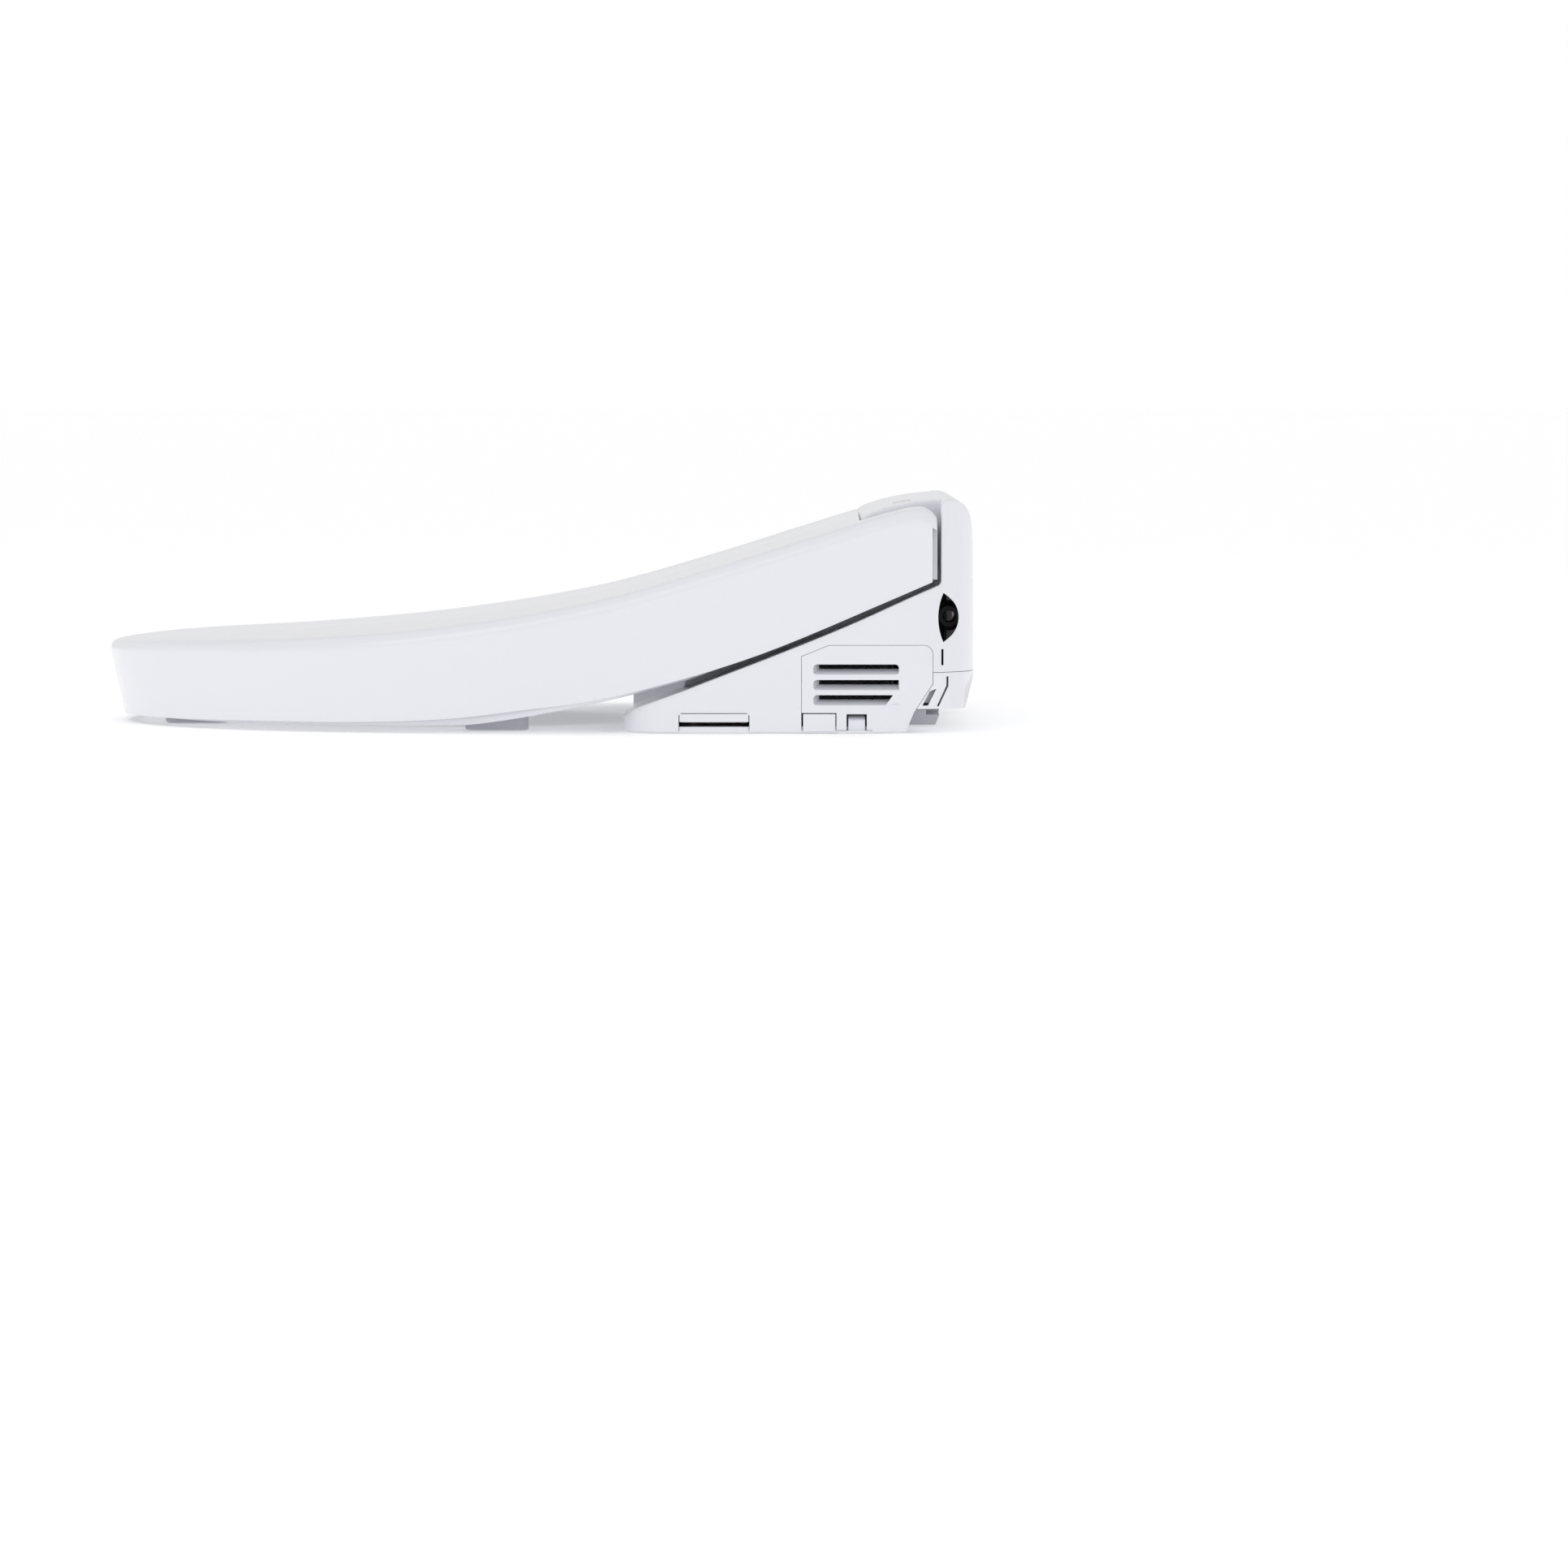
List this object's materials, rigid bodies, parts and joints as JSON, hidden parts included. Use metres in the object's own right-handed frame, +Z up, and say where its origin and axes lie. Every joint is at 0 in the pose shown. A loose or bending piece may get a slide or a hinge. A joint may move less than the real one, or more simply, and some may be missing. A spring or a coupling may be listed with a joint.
{
  "type": "electric bidet seat",
  "caption": "Electric bidet toilet seat: deep closed lid over a heated ring seat, hinged on a wedge-shaped washing unit with louvred side cover, washing wand and air dryer.",
  "frame": {"origin": "midway between the two fixing-bolt slots, on the plane of the toilet rim, which is the underside of the base plate", "axes": "+Z up; -Y towards the front of the seat, +Y towards the tank; +X towards the side with the louvred filter cover (a seated person's left)"},
  "size_m": [0.38, 0.531, 0.1385],
  "materials": {
    "white_plastic": "glossy white moulded plastic",
    "grey_plastic": "satin light grey moulded plastic",
    "bumper_rubber": "soft light grey rubber",
    "pad_rubber": "black rubber",
    "dark_plastic": "matt black engineering plastic",
    "inner_plastic": "matt mid-grey moulded plastic",
    "clear_window": "smoked clear plastic",
    "pin_steel": "turned stainless steel",
    "wand_plastic": "glossy white plastic",
    "gear_plastic": "natural acetal",
    "motor_steel": "plated steel",
    "heater_foil": "foil heating mat",
    "coil_wire": "resistance wire",
    "carbon": "black honeycomb filter",
    "mesh_steel": "woven steel mesh",
    "heater_metal": "cast aluminium",
    "chrome_thread": "chromed brass",
    "board_green": "circuit board",
    "hose_silicone": "milky silicone tube"
  },
  "bodies": {
    "base": {"base_plate": "grey_plastic"},
    "unit": {"base_pads": "pad_rubber", "lower_case": "white_plastic", "upper_cover": "white_plastic", "service_cover": "white_plastic", "hinge_bushes": "dark_plastic", "lid_damper": "dark_plastic", "seat_damper": "dark_plastic", "indicator_window": "clear_window", "seat_sensor_window": "clear_window", "cord_gland": "pad_rubber", "water_inlet": "chrome_thread", "case_screws": "pin_steel", "release_spring": "pin_steel", "wand_guide": "inner_plastic", "wand_motor": "motor_steel", "dryer_housing": "inner_plastic", "dryer_heater": "coil_wire", "carbon_filter": "carbon", "air_fan_housing": "inner_plastic", "water_heater": "heater_metal", "inlet_valve": "dark_plastic", "water_pump": "dark_plastic", "air_gap_valve": "wand_plastic", "flow_switch": "gear_plastic", "control_board": "board_green", "power_board": "board_green", "water_hoses": "hose_silicone"},
    "side_cover": {"filter_cover": "white_plastic"},
    "button": {"release_button": "white_plastic"},
    "tray": {"filter_tray": "white_plastic", "tray_mesh": "mesh_steel"},
    "drain": {"drain_knob": "grey_plastic"},
    "wand": {"wand_tube": "wand_plastic", "wand_tip": "wand_plastic"},
    "pinion": {"wand_pinion": "gear_plastic"},
    "dryer_door": {"dryer_flap": "white_plastic"},
    "dryer_impeller": {"dryer_fan": "dark_plastic"},
    "air_impeller": {"air_fan": "dark_plastic"},
    "seat": {"seat_top": "white_plastic", "seat_bottom": "white_plastic", "seat_heater": "heater_foil", "seat_bumpers": "bumper_rubber", "seat_hinge_arms": "white_plastic"},
    "lid": {"lid_shell": "white_plastic", "lid_bumpers": "bumper_rubber", "lid_hinge_arms": "white_plastic", "lid_hinge_pins": "pin_steel"}
  },
  "joints": [
    {"name": "unit_slide", "type": "slide", "parent": "base", "child": "unit", "axis": [0, -1, 0], "range_m": [0, 0.04]},
    {"name": "seat_hinge", "type": "hinge", "parent": "unit", "child": "seat", "pos_m": [0, 0.02, 0.122], "axis": [-1, 0, 0], "range_deg": [0, 100]},
    {"name": "lid_hinge", "type": "hinge", "parent": "seat", "child": "lid", "pos_m": [0, 0.02, 0.122], "axis": [1, 0, 0], "range_deg": [-105, 0]},
    {"name": "cover_slide", "type": "slide", "parent": "unit", "child": "side_cover", "axis": [1, 0, 0], "range_m": [0, 0.03]},
    {"name": "button_press", "type": "slide", "parent": "unit", "child": "button", "axis": [-1, 0, 0], "range_m": [0, 0.003], "stiffness_N_per_m": 900, "springref_m": -0.002},
    {"name": "tray_slide", "type": "slide", "parent": "unit", "child": "tray", "axis": [1, 0, 0], "range_m": [0, 0.06]},
    {"name": "drain_turn", "type": "hinge", "parent": "unit", "child": "drain", "pos_m": [-0.18, -0.028, 0.024], "axis": [-1, 0, 0], "range_deg": [0, 90]},
    {"name": "wand_slide", "type": "slide", "parent": "unit", "child": "wand", "axis": [0, -0.848, -0.5299], "range_m": [0, 0.1]},
    {"name": "pinion_turn", "type": "hinge", "parent": "unit", "child": "pinion", "pos_m": [0.0177, -0.08047, 0.03908], "axis": [0, -0.5299, 0.848], "range_deg": [0, 720]},
    {"name": "flap_hinge", "type": "hinge", "parent": "unit", "child": "dryer_door", "pos_m": [-0.055, -0.1148, 0.023], "axis": [-1, 0, 0], "range_deg": [0, 50]},
    {"name": "dryer_spin", "type": "hinge", "parent": "unit", "child": "dryer_impeller", "pos_m": [-0.062, -0.008, 0.046], "axis": [1, 0, 0], "continuous": true},
    {"name": "air_spin", "type": "hinge", "parent": "unit", "child": "air_impeller", "pos_m": [0.158, -0.016, 0.033], "axis": [1, 0, 0], "continuous": true}
  ],
  "couplings": [
    {"joint": "pinion_turn", "follows": "wand_slide", "rad_per_m": 125}
  ]
}
